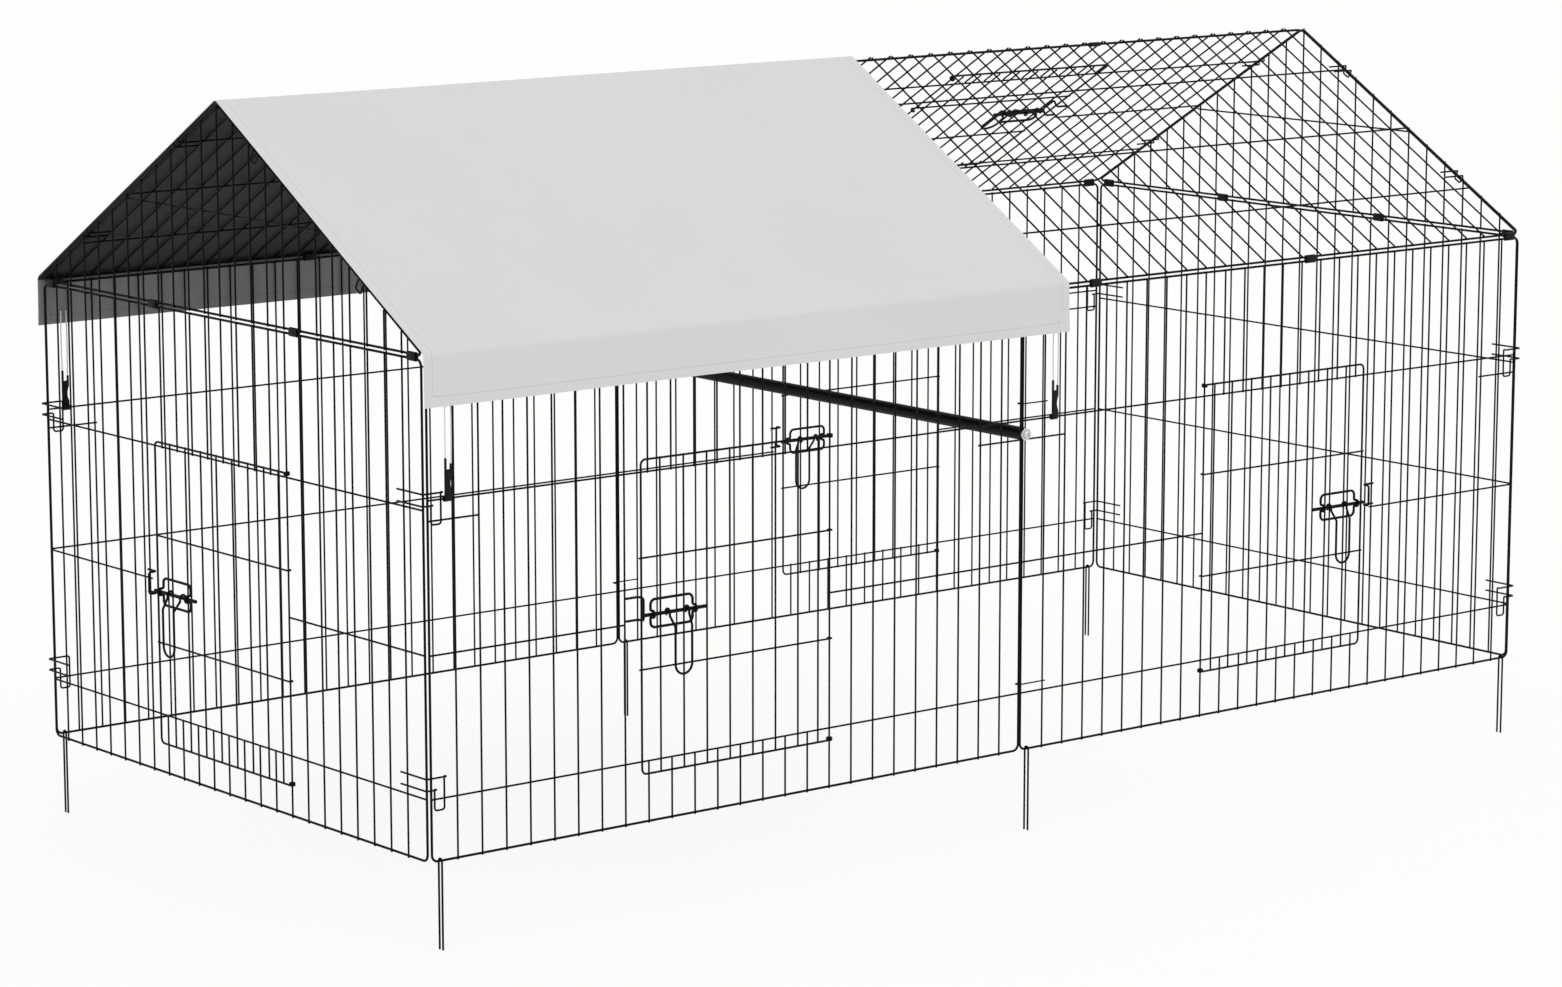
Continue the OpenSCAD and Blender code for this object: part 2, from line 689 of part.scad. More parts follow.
// roof hook from the end rod of a roof panel, at height s; its loop stands across the gable rod at y
module roof_hook(s, side, loop) {
  y = side * (rod_d + hook_d) / 2;
  half = roof_hook_spread / 2;
  translate([panel_w, 0, s]) bent([
    [-roof_hook_leg, y, -half], [roof_hook_out, y, -half], [roof_hook_out, loop, -half],
    [roof_hook_out, loop, half], [roof_hook_out, y, half], [-roof_hook_leg, y, half]
  ], same(3, 4), hook_d);
}
// the front hooks lie on the outside of their panels and hang down, the back ones lie inside and stand up
module roof_hooks() color(steel) {
  for (s = [roof_hook_low, roof_hook_high]) {
    roof_fr() roof_hook(s, -1, roof_hook_hang);
    roof_fl() roof_hook(s, -1, roof_hook_hang);
    roof_br() roof_hook(s, 1, -roof_hook_rise);
    roof_bl() roof_hook(s, 1, -roof_hook_rise);
  }
}

// clip that ties two rods, along X, with the second rod at height p
module tie_clip(p) {
  outer = rod_d + 2 * clip_wall;
  difference() {
    union() {
      for (z = [0, p]) {
        translate([-clip_length / 2, 0, z]) rotate([0, 90, 0]) cylinder(d = outer, h = clip_length, $fn = rn);
      }
      translate([-clip_length / 2, -outer / 2, 0]) cube([clip_length, outer, p]);
    }
    for (z = [0, p]) {
      translate([-clip_length, 0, z])
        rotate([0, 90, 0]) cylinder(d = rod_d + 0.1, h = 2 * clip_length, $fn = rn);
    }
  }
}
module rail_clips() color(black_plastic) home() {
  for (mx = [0, 1], my = [0, 1], i = [3.5, 14.5, 25.5]) {
    mirror([mx, 0, 0]) mirror([0, my, 0])
      translate([mid_x + i * wall_pitch, -hw, base_z + wall_height]) tie_clip(tie_pitch);
  }
  for (mx = [0, 1], i = [0.5, 7.5, 16.5, 23.5]) {
    mirror([mx, 0, 0])
      translate([hl, -end_half + i * end_pitch, base_z + wall_height]) rotate([0, 0, 90]) tie_clip(tie_pitch);
  }
  for (mx = [0, 1]) {
    mirror([mx, 0, 0])
      translate([mid_x + 14.5 * wall_pitch, mid_x, ridge_z]) rotate([90, 0, 0]) tie_clip(2 * mid_x);
  }
}

// U stake over the bottom rail
module stake() {
  top = rod_d / 2 + stake_d / 2;
  bent([
    [0, -stake_half, -stake_depth], [0, -stake_half, top], [0, stake_half, top], [0, stake_half, -stake_depth]
  ], same(stake_half - 0.01, 2), stake_d);
}
module ground_stakes() color(steel) home() {
  for (x = [-corner_rod + stake_inset, mid_x + stake_inset, corner_rod - stake_inset], y = [-hw, hw]) {
    translate([x, y, base_z]) stake();
  }
}

// perch across the run and its bolts and washers
module perch_axis() home() translate([perch_x, 0, base_z + perch_height]) rotate([90, 0, 0]) children();
module perch_bar() color(black_plastic) perch_axis() {
  difference() {
    translate([0, 0, -perch_end]) cylinder(d = perch_d, h = 2 * perch_end, $fn = rn);
    for (m = [0, 1]) {
      mirror([0, 0, m]) translate([0, 0, perch_end - perch_bolt_depth - 2])
        cylinder(d = perch_bolt_d + 0.1, h = perch_bolt_depth + 4, $fn = rn);
    }
  }
}
module perch_bolts() color(zinc) perch_axis() {
  for (m = [0, 1]) {
    mirror([0, 0, m]) union() {
      translate([0, 0, perch_end - perch_bolt_depth])
        cylinder(d = perch_bolt_d, h = perch_bolt_depth + washer_y - perch_end + washer_t + 1, $fn = rn);
      translate([0, 0, washer_y + washer_t]) cylinder(d1 = head_d, d2 = head_d * 0.6, h = head_h, $fn = rn);
    }
  }
}
module perch_washers() color(zinc) perch_axis() {
  for (m = [0, 1]) {
    mirror([0, 0, m]) translate([0, 0, washer_y]) difference() {
      cylinder(d = washer_d, h = washer_t, $fn = rn);
      translate([0, 0, -1]) cylinder(d = perch_bolt_d + 0.1, h = washer_t + 2, $fn = rn);
    }
  }
}

// cloth cover over the left half of the roof, with a valance front and back
function cover_z(y, off) = eave_z + (hw - abs(y)) * tan(tilt) + off / cos(tilt);
module roof_cover() color(cloth) home() {
  hem = base_z + hem_height;
  translate([-run_length / 2, 0, 0]) rotate([90, 0, 90]) linear_extrude(height = run_length / 2 + cover_reach)
    polygon([
      [-valance_out, hem], [-valance_in, hem], [-valance_in, cover_z(valance_in, cover_in)],
      [0, cover_z(0, cover_in)], [valance_in, cover_z(valance_in, cover_in)], [valance_in, hem],
      [valance_out, hem], [valance_out, cover_z(valance_out, cover_out)],
      [0, cover_z(0, cover_out)], [-valance_out, cover_z(valance_out, cover_out)]
    ]);
}

// places of the four ties
module ties() home() {
  for (x = [-tie_left, tie_right], my = [0, 1]) {
    mirror([0, my, 0]) translate([x, 0, base_z]) children();
  }
}
// height of a prong above its rail, s is -1 for the left one
function prong_top(s) = cover_hook_h + prong_h + (s < 0 ? prong_step : 0);
module cover_elastics() color(pale) ties() {
  for (s = [-1, 1]) {
    low = tie_rail + prong_top(s);
    translate([s * elastic_spread / 2, -strand_y, low])
      cylinder(d = elastic_d, h = hem_height + elastic_sewn - low, $fn = rn);
  }
}
module cover_hooks() color(black_plastic) ties() translate([0, -hw + rail_y, tie_rail]) {
  difference() {
    translate([-cover_hook_w / 2, 0, 0]) rotate([90, 0, 90]) linear_extrude(height = cover_hook_w) {
      difference() {
        union() {
          circle(r = cover_hook_r, $fn = rn);
          translate([-cover_hook_r, 0]) square([cover_hook_wall, cover_hook_h]);
          translate([hook_bore, 0]) square([cover_hook_wall, cover_hook_lip]);
        }
        circle(r = hook_bore, $fn = rn);
        translate([-hook_bore, 0]) square([2 * hook_bore, cover_hook_r + 1]);
        translate([hook_bore, cover_hook_lip]) square([cover_hook_r, cover_hook_r]);
      }
    }
    translate([cover_hook_w / 2 + waist_r - waist_depth, -cover_hook_r - 1, waist_height])
      rotate([-90, 0, 0]) cylinder(r = waist_r, h = cover_hook_wall + 2, $fn = rn);
  }
  for (s = [-1, 1]) {
    translate([s * elastic_spread / 2 - prong_w / 2, -cover_hook_r, cover_hook_h - prong_root])
      cube([prong_w, cover_hook_wall, prong_top(s) - cover_hook_h + prong_root]);
  }
}

front_left_frame();
front_left_wires();
front_right_frame();
front_right_wires();
back_left_frame();
back_left_wires();
back_right_frame();
back_right_wires();
left_end_frame();
left_end_wires();
right_end_frame();
right_end_wires();
left_gable_frame();
left_gable_wires();
right_gable_frame();
right_gable_wires();
roof_front_left_frame();
roof_front_left_wires();
roof_front_right_frame();
roof_front_right_wires();
roof_back_left_frame();
roof_back_left_wires();
roof_back_right_frame();
roof_back_right_wires();
front_left_door();
front_left_guide();
front_left_bolt();
front_left_handle();
front_right_door();
front_right_guide();
front_right_bolt();
front_right_handle();
back_right_door();
back_right_guide();
back_right_bolt();
back_right_handle();
left_end_door();
left_end_guide();
left_end_bolt();
left_end_handle();
roof_door();
roof_guide();
roof_bolt();
roof_handle();
door_keepers();
corner_hooks();
mid_hooks();
roof_hooks();
rail_clips();
ground_stakes();
perch_bar();
perch_bolts();
perch_washers();
roof_cover();
cover_elastics();
cover_hooks();
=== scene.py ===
# %% [markdown]
# This lesson dresses a long garden run that was built as solids: bent rod frames, welded wire mesh, five
# latched doors, a perch and a half cover. It could all be modelled again by hand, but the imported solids
# already have the right sizes, so they come in as a fixed frame, in metres. Every wire, rod and latch
# keeps its solid, and only what is soft or very small is modelled here again.

# %% Load the frame
import json
import math
import bpy
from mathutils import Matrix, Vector


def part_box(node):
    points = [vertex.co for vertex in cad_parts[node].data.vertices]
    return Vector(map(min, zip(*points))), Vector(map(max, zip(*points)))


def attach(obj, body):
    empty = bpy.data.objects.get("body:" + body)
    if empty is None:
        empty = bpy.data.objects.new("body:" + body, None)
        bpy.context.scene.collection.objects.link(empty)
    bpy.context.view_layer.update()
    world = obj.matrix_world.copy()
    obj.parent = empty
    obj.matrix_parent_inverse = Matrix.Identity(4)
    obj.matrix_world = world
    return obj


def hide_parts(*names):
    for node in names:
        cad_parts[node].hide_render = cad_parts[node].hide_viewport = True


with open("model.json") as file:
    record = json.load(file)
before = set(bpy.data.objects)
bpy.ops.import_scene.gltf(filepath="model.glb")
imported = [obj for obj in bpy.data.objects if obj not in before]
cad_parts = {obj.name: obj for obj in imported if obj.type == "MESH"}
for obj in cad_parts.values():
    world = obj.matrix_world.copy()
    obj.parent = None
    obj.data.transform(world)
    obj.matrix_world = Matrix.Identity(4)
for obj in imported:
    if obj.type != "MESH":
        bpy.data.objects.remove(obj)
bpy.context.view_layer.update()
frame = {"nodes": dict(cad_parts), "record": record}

nodes = frame["nodes"]

# %% [markdown]
# A finish is a small graph of shader nodes. Its sums could be added node by node and link by link, which
# is slow to write and to read. So one small class wraps an output socket and lets Python's own operators
# add the Math nodes. The reflected forms let a plain number stand on the left as well.

# %% A wrapped socket
class Value:
    def __init__(self, graph, socket):
        self.graph = graph
        self.socket = socket

    def combine(self, operation, *terms):
        return self.graph.add("ShaderNodeMath", {"operation": operation}, dict(enumerate(terms)))

    def __add__(self, other):
        return self.combine("ADD", self, other)

    def __radd__(self, other):
        return self.combine("ADD", other, self)

    def __sub__(self, other):
        return self.combine("SUBTRACT", self, other)

    def __rsub__(self, other):
        return self.combine("SUBTRACT", other, self)

    def __mul__(self, other):
        return self.combine("MULTIPLY", self, other)

    def __rmul__(self, other):
        return self.combine("MULTIPLY", other, self)

    def sine(self):
        return self.combine("SINE", self)

    def below(self, limit):
        return self.combine("LESS_THAN", self, limit)

    def near(self, middle, reach):
        return self.combine("COMPARE", self, middle, reach)

    def either(self, other):
        return self.combine("MAXIMUM", self, other)

    def twin(self, output):
        return Value(self.graph, self.socket.node.outputs[output])


print("a value can be added, subtracted, multiplied and compared")

# %% [markdown]
# Every other node comes from one method. It makes the node's settings first, because they can change its
# sockets, and then fills each socket with a number or a link. The sky needs this as much as the finishes
# do, so the graph is a class of its own.

# %% A graph of nodes
class Graph:
    def __init__(self, tree):
        self.tree = tree

    def fill(self, socket, value):
        if isinstance(value, Value):
            self.tree.links.new(value.socket, socket)
        else:
            socket.default_value = value

    def add(self, kind, settings, inputs, output=0):
        node = self.tree.nodes.new(kind)
        for key, value in settings.items():
            setattr(node, key, value)
        for key, value in inputs.items():
            self.fill(node.inputs[key], value)
        return Value(self, node.outputs[output])


print("a graph can add and fill nodes")

# %% [markdown]
# A finish is a graph on a new material that starts from the Principled shader. Its patterns could follow
# a UV map everywhere, but the solids have none, so they read Object coordinates. Each piece sits at the
# origin with its place in its mesh, so these are the run's own metres.

# %% A finish
mix_share, mix_low, mix_high, mix_result = 0, 6, 7, 2


class Finish(Graph):
    def __init__(self, name, **constants):
        self.material = bpy.data.materials.new(name)
        self.material.use_nodes = True
        super().__init__(self.material.node_tree)
        self.shader = self.tree.nodes["Principled BSDF"]
        self.place = self.add("ShaderNodeTexCoord", {}, {}, "Object")
        self.feed(**constants)

    def feed(self, **inputs):
        for name, value in inputs.items():
            self.fill(self.shader.inputs[name.replace("_", " ")], value)
        return self.material

    def noise(self, scale, detail=3.0, where=None):
        inputs = {"Vector": where or self.place, "Scale": scale, "Detail": detail}
        return self.add("ShaderNodeTexNoise", {}, inputs)

    def between(self, share, low, high):
        first, second = (end if isinstance(end, Value) else (*end, 1.0) for end in (low, high))
        inputs = {mix_share: share, mix_low: first, mix_high: second}
        return self.add("ShaderNodeMix", {"data_type": "RGBA"}, inputs, mix_result)

    def parts(self, vector):
        first = self.add("ShaderNodeSeparateXYZ", {}, {0: vector})
        return [first.twin(axis) for axis in "XYZ"]

    def bump(self, height, strength, distance):
        return self.add("ShaderNodeBump", {}, {"Height": height, "Strength": strength, "Distance": distance})


print("a finish can add noise, mixed colours and bumps")

# %% [markdown]
# The wires and rods carry a black powder coat. It is deep black with a soft sheen, a little orange peel,
# and slightly greyer patches where the coat is thin. A plain black would do from far away, but close up
# the rods would look like ink, so one slow noise makes the patches and one fine noise makes the peel.

# %% Powder coat
coat = Finish("black_powder_coat", Specular_IOR_Level=0.1)
patches = coat.noise(9.0)
peel = coat.noise(700.0, 2.0)
powder_coat = coat.feed(
    Base_Color=coat.between(patches, (0.0012, 0.0012, 0.0012), (0.0032, 0.0032, 0.0033)),
    Roughness=0.42 + patches * 0.2,
    Normal=coat.bump(peel, 0.12, 0.0004),
)
print("powder coat:", len(coat.tree.nodes), "shader nodes")

# %% [markdown]
# The clips and cover hooks are moulded plastic, which is matt with a fine spark eroded grain. The grain
# is far too small to model, so a fine noise raises it as a bump, and a wider one clouds the black.

# %% Moulded plastic
grain = Finish("moulded_black_plastic", Specular_IOR_Level=0.15)
speck = grain.noise(1500.0, 2.0)
cloud = grain.noise(40.0)
moulded_plastic = grain.feed(
    Base_Color=grain.between(cloud, (0.003, 0.003, 0.0032), (0.006, 0.006, 0.0063)),
    Roughness=0.48 + cloud * 0.15,
    Normal=grain.bump(speck, 0.2, 0.0002),
)
print("moulded plastic:", len(grain.tree.nodes), "shader nodes")

# %% [markdown]
# The perch is a dowel in a black sleeve, drawn over it lengthwise, which leaves long faint streaks. The
# perch runs along Y, so a Mapping node that squeezes the noise across X and Z stretches it along Y.

# %% Perch sleeve
sleeve = Finish("perch_sleeve", Specular_IOR_Level=0.12)
along = sleeve.add("ShaderNodeMapping", {}, {"Vector": sleeve.place, "Scale": (90.0, 2.0, 90.0)})
streak = sleeve.noise(1.0, 4.0, along)
perch_sleeve = sleeve.feed(
    Base_Color=sleeve.between(streak, (0.0016, 0.0016, 0.0016), (0.0042, 0.0041, 0.004)),
    Roughness=0.4 + streak * 0.25,
    Normal=sleeve.bump(streak, 0.15, 0.0004),
)
print("perch sleeve:", len(sleeve.tree.nodes), "shader nodes")

# %% [markdown]
# The perch bolts and washers are bright zinc plate. Zinc shows a faint crystal pattern. A noise would be
# too soft for that, so a cell texture shifts the colour from crystal to crystal, under a light haze.

# %% Zinc plate
plate = Finish("bright_zinc_plate", Metallic=1.0)
crystal = plate.add("ShaderNodeTexVoronoi", {}, {"Vector": plate.place, "Scale": 900.0}, "Color")
tone = plate.add("ShaderNodeSeparateColor", {}, {0: crystal})
haze = plate.noise(160.0)
zinc_plate = plate.feed(
    Base_Color=plate.between(tone, (0.60, 0.61, 0.62), (0.72, 0.73, 0.74)),
    Roughness=0.24 + haze * 0.2,
    Normal=plate.bump(haze, 0.08, 0.0003),
)
print("zinc plate:", len(plate.tree.nodes), "shader nodes")

# %% [markdown]
# The cover is a coated woven cloth. Its face is a pale cool grey with a plain weave. Its back is painted
# near black under the roof, which is painted shade for the shaded underside, and the inside of the hanging
# valance is a mid grey. The sheet carries its own UV map in metres along and across the threads, so the
# weave follows every fold, and a number for the distance to the nearest edge. That number places the
# folded hem, which stands up a little, and the row of stitches that holds it. Modelling each stitch would
# cost far more than it shows.

# %% Cloth face, back with painted shade and valance lining
thread_pitch = 0.0016
thread_turns = 2 * math.pi / thread_pitch
stitch_pitch = 0.007
stitch_turns = 2 * math.pi / stitch_pitch
dash_limit = 0.45
hem_width = 0.014
past_stitch = 0.002
stitch_reach = 0.0006
stitch_shade = 0.80
hem_rise = 1.5
stitch_sink = 2.0


def woven(name, low, high, rough):
    cloth = Finish(name, Specular_IOR_Level=0.2)
    along, across = cloth.parts(cloth.add("ShaderNodeUVMap", {"uv_map": "threads"}, {}))[:2]
    weave = (along * thread_turns).sine() * (across * thread_turns).sine()
    from_edge = cloth.add("ShaderNodeAttribute", {"attribute_name": "from_edge"}, {}, "Fac")
    dashes = ((along + across) * stitch_turns).sine().below(dash_limit)
    stitch = from_edge.near(hem_width, stitch_reach) * dashes
    fold = from_edge.below(hem_width + past_stitch)
    tint = cloth.noise(3.5, 4.0)
    # the sunk stitches are painted a fifth darker than the cloth, as painted shade in their row
    sunk = tuple(stitch_shade * channel for channel in low)
    return cloth.feed(
        Base_Color=cloth.between(stitch, cloth.between(tint, low, high), sunk),
        Roughness=rough + tint * 0.1,
        Normal=cloth.bump(weave + fold * hem_rise - stitch * stitch_sink, 0.25, 0.0003),
    )


cloth_face = woven("cover_cloth_face", (0.666, 0.661, 0.688), (0.712, 0.707, 0.734), 0.62)
# the back is painted near black as painted shade for the underside under the roof
cloth_back_painted_shade = woven("cover_cloth_back_painted_shade", (0.020, 0.020, 0.0195), (0.032, 0.032, 0.031), 0.7)
cloth_lining = woven("cover_valance_lining", (0.20, 0.207, 0.22), (0.27, 0.277, 0.29), 0.7)
print("cloth:", len(cloth_face.node_tree.nodes), "shader nodes on each of 3 sides")

# %% [markdown]
# The ties are white elastic cord. Its braid shows as fine slanted ribs. They are finer than any mesh
# would carry, so a sine along the strand, slanted by a share of its width, tints and raises them.

# %% Elastic braid
ribs_along = 5200.0
ribs_across = 2600.0
braid = Finish("white_elastic_braid", Specular_IOR_Level=0.2)
axes = braid.parts(braid.place)
rib = (axes[2] * ribs_along + axes[0] * ribs_across).sine()
elastic_braid = braid.feed(
    Base_Color=braid.between(rib * 0.5 + 0.5, (0.66, 0.66, 0.68), (0.80, 0.80, 0.82)),
    Roughness=0.65 + rib * 0.05,
    Normal=braid.bump(rib, 0.3, 0.0002),
)
print("elastic braid:", len(braid.tree.nodes), "shader nodes")

# %% [markdown]
# The camera stands in front of the left corner, about seven and a half metres away and a little above
# the ridge, with a long lens. It could be set by eye, but its place was worked out from the corners of
# the run in the photograph, so that the panels fall where the photograph has them.

# %% Camera
looks_down = 10.1085
looks_right = 38.868
view = bpy.data.cameras.new("run_camera")
view.lens = 109.916
view.sensor_width = 36.0
view.clip_end = 100.0
camera = bpy.data.objects.new("run_camera", view)
bpy.context.scene.collection.objects.link(camera)
camera.location = (-4.74630, -5.83173, 1.79809)
camera.rotation_euler = (math.radians(90 - looks_down), 0.0, math.radians(-looks_right))
bpy.context.scene.camera = camera
print("camera at", tuple(round(c, 3) for c in camera.location))

# %% [markdown]
# The floor lies just under the stake tips. A brighter lamp could bleach it to the white of the photograph,
# but it would bleach the cover too. So the floor is white of itself to the camera and to mirror rays, with
# a share of its own shading left in, which keeps a faint shadow of the run.

# %% Floor
studio_white = (1.0, 1.0, 0.985, 1.0)
white_share = 0.88
floor_size = 60.0
floor_z = -0.001


def deselect():
    if bpy.context.object and bpy.context.object.mode != "OBJECT":
        bpy.ops.object.mode_set(mode="OBJECT")
    bpy.ops.object.select_all(action="DESELECT")


def plainly_seen(graph):
    camera_ray = graph.add("ShaderNodeLightPath", {}, {}, "Is Camera Ray")
    mirror_ray = camera_ray.twin("Is Glossy Ray")
    through_ray = camera_ray.twin("Is Transmission Ray")
    return camera_ray.either(mirror_ray).either(through_ray)


deselect()
bpy.ops.mesh.primitive_plane_add(size=floor_size, location=(0.0, 0.0, floor_z))
floor = bpy.context.object
floor.name = "pale_floor"
ground = Finish("pale_floor_paint", Roughness=0.9, Specular_IOR_Level=0.0)
ground.feed(Base_Color=ground.between(ground.noise(0.4), (0.93, 0.93, 0.92), (0.95, 0.95, 0.94)))
white = ground.add("ShaderNodeEmission", {}, {"Color": studio_white, "Strength": 1.0})
painted = Value(ground, ground.shader.outputs[0])
whiteness = plainly_seen(ground) * white_share
shown = ground.add("ShaderNodeMixShader", {}, {0: whiteness, 1: painted, 2: white})
ground.fill(ground.tree.nodes["Material Output"].inputs["Surface"], shown)
floor.data.materials.append(ground.material)
print("floor:", len(ground.tree.nodes), "shader nodes")

# %% [markdown]
# The light is that of a plain studio: an even sky and one broad lamp, high in front and a little to the
# left. A few small lamps would give sharper shadows, which thin wires would turn into clutter. The sky is
# plain white where the camera or a mirror ray meets it, and a little dimmer where it lights the run.

# %% Sky and lamp
sky_level = 0.82
lamp_forward = 28
lamp_left = 12
lamp_spread = 70
world = bpy.data.worlds.new("even_sky")
bpy.context.scene.world = world
world.use_nodes = True
sky = Graph(world.node_tree)
background = sky.tree.nodes["Background"]
sky.fill(background.inputs["Color"], studio_white)
sky.fill(background.inputs["Strength"], sky_level + plainly_seen(sky) * (1.0 - sky_level))

lamp_data = bpy.data.lights.new("broad_lamp", "SUN")
lamp_data.energy = 0.6
lamp_data.angle = math.radians(lamp_spread)
lamp = bpy.data.objects.new("broad_lamp", lamp_data)
bpy.context.scene.collection.objects.link(lamp)
lamp.rotation_euler = (math.radians(lamp_forward), math.radians(-lamp_left), 0.0)
bpy.context.scene.view_settings.view_transform = "Standard"
print("sky at", sky_level, "and lamp at", lamp_data.energy)

# %% [markdown]
# The solids that stay only need their finish. It could be set piece by piece, but the record already
# says what each node is made of, so each one takes the finish of its slot there.

# %% Finishes on the solids
finish_of_slot = {
    "wire": powder_coat,
    "plastic": moulded_plastic,
    "perch": perch_sleeve,
    "zinc": zinc_plate,
    "cloth": cloth_face,
    "elastic": elastic_braid,
}
slot_of_node = {entry["node"]: entry["material_slot"] for entry in frame["record"]["subparts"]}
for name, solid in nodes.items():
    finish = finish_of_slot[slot_of_node[name]]
    if not solid.material_slots:
        solid.data.materials.append(finish)
    for entry in solid.material_slots:
        entry.material = finish
print("finishes on", len(nodes), "solids")

# %% [markdown]
# The cover is one sheet of cloth: front valance, front slope, over the ridge, back slope, back valance.
# It could be simulated, but this one is pulled tight over the roof wires by its elastic ties, so it is a
# grid laid along the roof's own profile. The profile's corners come from the solids: the slope from the
# roof frame, and the rest from the plain cover, moved out a little to lie clear of the wires.

# %% Roof profile of the cover
cover_low, cover_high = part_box("roof_cover")
thickness = 0.001
clear = 0.0014
eave_turn = 0.009
ridge_turn = 0.007
rod_r = 0.0018
half = cover_high[1] - thickness / 2 + clear
hem_z = cover_low[2]
eave_rail, ridge_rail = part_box("roof_front_left_frame")
rise = (ridge_rail[2] - rod_r) - (eave_rail[2] + rod_r)
run = (ridge_rail[1] - rod_r) - (eave_rail[1] + rod_r)
tilt = math.atan2(rise, run)
ridge_z = cover_high[2] - thickness / 2 / math.cos(tilt) + clear
eave_z = ridge_z - half * math.tan(tilt)
corners = [(-half, hem_z), (-half, eave_z), (0.0, ridge_z), (half, eave_z), (half, hem_z)]
corner_radii = [0.0, eave_turn, ridge_turn, eave_turn, 0.0]
print("roof slope", round(math.degrees(tilt), 2), "degrees, eave fold at", round(eave_z, 4))

# %% [markdown]
# Cloth turns softly over a rod. A bevel could round the folds afterwards, but then the size that the
# sheet is cut to would be unknown. So each turn is an arc worked out from its radius, and the rows of the
# sheet are marked along the whole path by its length.

# %% Points along the profile
row_gap = 0.013


def rounded(points, radii, steps=8):
    path = [Vector(points[0])]
    for i in range(1, len(points) - 1):
        here = Vector(points[i])
        a = (here - Vector(points[i - 1])).normalized()
        b = (Vector(points[i + 1]) - here).normalized()
        angle = a.angle(b)
        reach = radii[i] * math.tan(angle / 2)
        start = here - a * reach
        side = (b - a * a.dot(b)).normalized()
        centre = start + side * radii[i]
        for k in range(steps + 1):
            turn = angle * k / steps
            path.append(centre - side * radii[i] * math.cos(turn) + a * radii[i] * math.sin(turn))
    path.append(Vector(points[-1]))
    return path


def spread(path, gap):
    lengths = [0.0]
    for a, b in zip(path, path[1:]):
        lengths.append(lengths[-1] + (b - a).length)
    marks = []
    for i in range(len(path) - 1):
        step = lengths[i + 1] - lengths[i]
        parts = max(1, int(round(step / gap)))
        for k in range(parts):
            marks.append((lengths[i] + step * k / parts, path[i].lerp(path[i + 1], k / parts)))
    marks.append((lengths[-1], path[-1]))
    return marks


profile = spread(rounded(corners, corner_radii), row_gap)
cloth_length = profile[-1][0]
cloth_width = cover_high[0] - cover_low[0]
print("cover cut %.3f by %.3f m, %d rows" % (cloth_width, cloth_length, len(profile)))

# %% [markdown]
# A tight cover is never quite flat: it lifts a little between the wires, and its free valance waves. Noise
# would give it a crumpled look, so slow waves of unlike lengths are multiplied, which never repeat.

# %% Lift and wave of the cloth
valance_wave = 0.0035
slope_lift = 0.0012
wave_fade = 1.5


def sway(x, s):
    edge = min(s, cloth_length - s)
    free = max(0.0, 1.0 - edge / (eave_z - hem_z))
    wave = 0.5 + 0.5 * math.sin(x * 9.0 + 0.7) * math.cos(x * 3.7 - 0.4)
    pillow = 0.5 + 0.5 * math.sin(x * 5.1 + s * 3.3) * math.sin(s * 7.9 - x * 2.0 + 0.6)
    return valance_wave * wave * free ** wave_fade + slope_lift * pillow * (1 - free)


outward = []
last_row = len(profile) - 1
for row in range(len(profile)):
    before = profile[max(row - 1, 0)][1]
    after = profile[min(row + 1, last_row)][1]
    along_path = (after - before).normalized()
    outward.append(Vector((-along_path[1], along_path[0])))
print("the valance waves by", valance_wave * 1000, "mm and the slopes lift by", slope_lift * 1000, "mm")

# %% [markdown]
# The sheet starts as a flat grid, as cloth does on the cutting table. It could be folded by hand in edit
# mode, but every point already knows its row and column. So each one moves to its place on the path, and
# keeps its place on the flat cloth as the UV map and its distance from the nearest edge as a number.

# %% Lay the sheet
columns = 96
deselect()
bpy.ops.mesh.primitive_grid_add(x_subdivisions=columns, y_subdivisions=last_row, size=1.0)
cover = bpy.context.object
cover.name = "cloth_cover"
mesh = cover.data
threads = mesh.uv_layers[0]
threads.name = "threads"
from_edge = mesh.attributes.new("from_edge", "FLOAT", "POINT")
flat = {}
for vertex in mesh.vertices:
    column = round((vertex.co.x + 0.5) * columns)
    row = round((vertex.co.y + 0.5) * last_row)
    x = cover_low[0] + cloth_width * column / columns
    s, p = profile[row]
    q = p + outward[row] * sway(x, s)
    flat[vertex.index] = (x, s)
    from_edge.data[vertex.index].value = min(x - cover_low[0], cover_high[0] - x, s, cloth_length - s)
    vertex.co = (x, q[0], q[1])
for loop in mesh.loops:
    threads.data[loop.index].uv = flat[loop.vertex_index]
print("sheet laid:", len(mesh.vertices), "points")

# %% [markdown]
# The laid sheet has no thickness yet. Its skin could be extruded by hand, but Solidify gives the cloth's
# millimetre evenly round the folds and puts the back, painted near black as painted shade, on the inner
# skin in the same step. The inner skin of the two valances then takes the lining.

# %% Thickness, back with painted shade and lining
def work_on(piece):
    deselect()
    piece.select_set(True)
    bpy.context.view_layer.objects.active = piece


for skin in (cloth_face, cloth_back_painted_shade, cloth_lining):
    mesh.materials.append(skin)
painted_shade_index, lining_index = 1, 2
work_on(cover)
bpy.ops.object.mode_set(mode="EDIT")
bpy.ops.mesh.select_all(action="SELECT")
bpy.ops.mesh.normals_make_consistent(inside=False)
bpy.ops.object.mode_set(mode="OBJECT")
if sum(face.normal[2] * face.area for face in mesh.polygons) < 0:
    mesh.flip_normals()
wall = cover.modifiers.new("thickness", "SOLIDIFY")
wall.thickness = thickness
wall.offset = 0.0
wall.material_offset = painted_shade_index
wall.material_offset_rim = 0
bpy.ops.object.modifier_apply(modifier="thickness")
